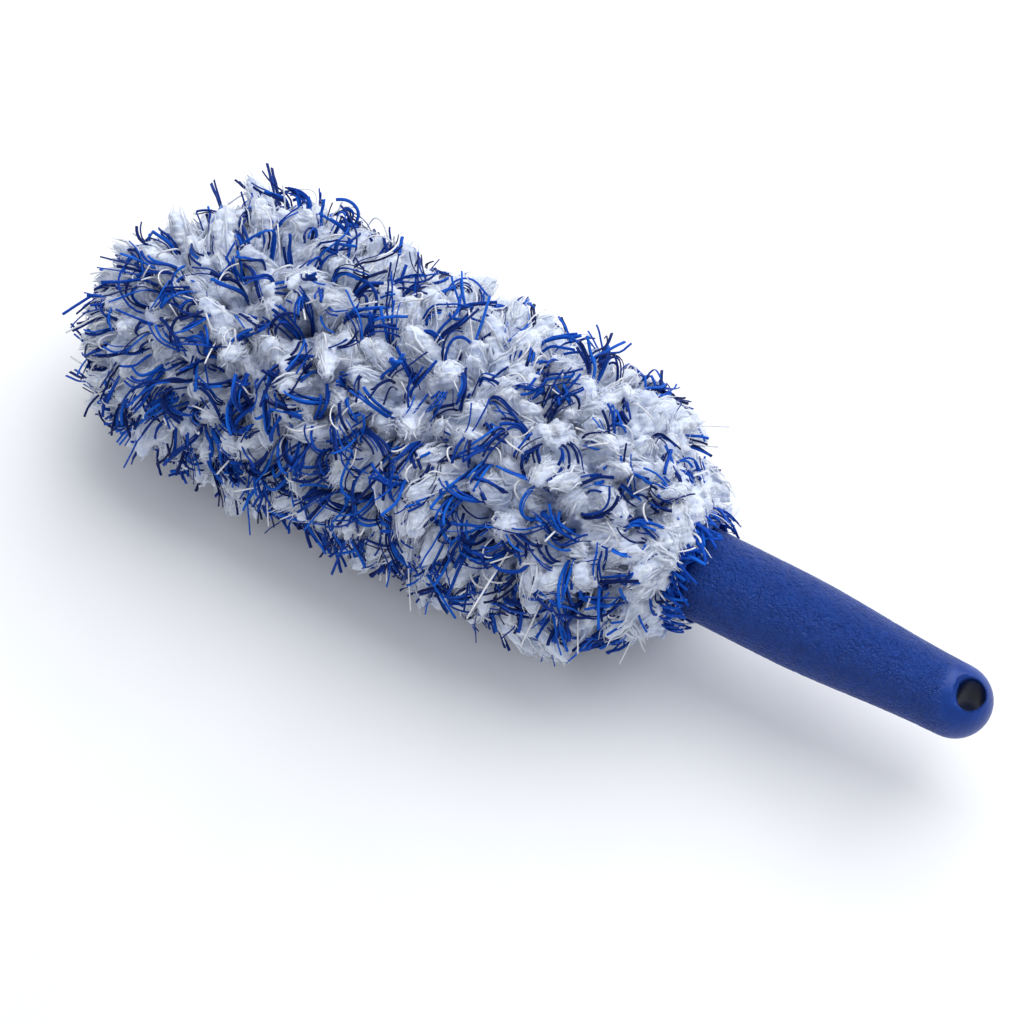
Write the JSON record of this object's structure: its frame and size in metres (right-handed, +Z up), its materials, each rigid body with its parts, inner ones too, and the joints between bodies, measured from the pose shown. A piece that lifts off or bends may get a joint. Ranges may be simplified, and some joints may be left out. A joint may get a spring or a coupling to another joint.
{
  "type": "wheel brush",
  "caption": "Hand-held brush for washing road wheels: a round blue handle with a hang hole, and a long oval head in a pull-off sleeve of soft white and blue microfibre pile.",
  "frame": {"origin": "on the table under the middle of the whole brush, which lies flat with its wide sides up and down", "axes": "+X from the tip of the head to the end of the handle, +Z up along the hang hole's axis, +Y across the width"},
  "size_m": [0.302, 0.086, 0.0706],
  "materials": {
    "handle": "satin",
    "spine": "satin",
    "foam": "matte",
    "backing": "matte",
    "white_pile": "matte",
    "blue_pile": "satin",
    "cuff": "matte",
    "elastic": "matte",
    "thread": "satin"
  },
  "bodies": {
    "handle_body": {"handle": "handle", "spine": "spine", "foam_front": "foam", "foam_back": "foam"},
    "sleeve": {"backing_front": "backing", "backing_back": "backing", "pile_front": "white_pile", "pile_back": "white_pile", "side_seam": "backing", "seam_thread": "thread", "cuff": "cuff", "cuff_join_thread": "thread", "cuff_pile": "white_pile", "cuff_binding": "cuff", "cuff_elastic": "elastic", "binding_thread": "thread"}
  },
  "joints": [
    {"name": "sleeve_slide", "type": "slide", "parent": "handle_body", "child": "sleeve", "axis": [-1, 0, 0], "range_m": [0, 0.2], "deforming": ["cuff", "cuff_join_thread", "cuff_pile", "cuff_binding", "cuff_elastic", "binding_thread"]}
  ]
}
